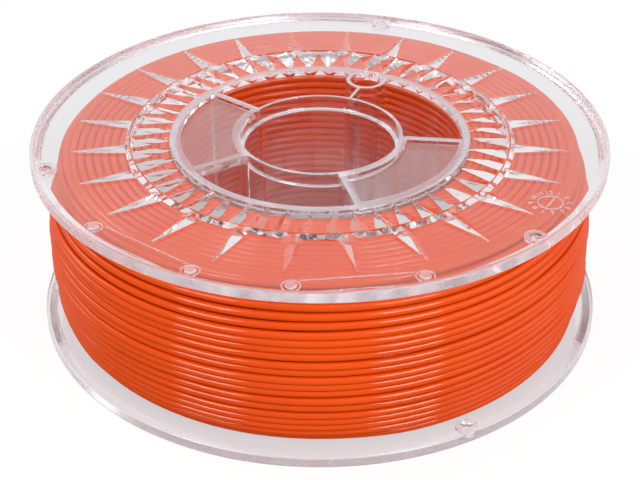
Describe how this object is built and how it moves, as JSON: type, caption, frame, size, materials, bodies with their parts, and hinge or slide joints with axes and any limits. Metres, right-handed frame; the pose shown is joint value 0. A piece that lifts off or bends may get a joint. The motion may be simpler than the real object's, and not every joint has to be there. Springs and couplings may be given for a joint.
{
  "type": "filament spool",
  "caption": "Clear plastic spool with a sunburst on its flanges, holding a winding of orange printer filament, with a spindle bore and a drive hole.",
  "frame": {"origin": "centre of the spool on the plane that the lower rim stands on", "axes": "+Z along the spool axis from the lower flange to the upper one, +Y from the axis to the drive hole"},
  "size_m": [0.2, 0.2, 0.067],
  "materials": {
    "clear_plastic": "clear moulded polystyrene, polished",
    "filament": "extruded orange plastic with a satin gloss"
  },
  "bodies": {
    "root": {"upper_flange": "clear_plastic", "lower_flange": "clear_plastic", "core": "clear_plastic", "filament_inner_layers": "filament", "filament_outer_layer": "filament"}
  },
  "joints": []
}
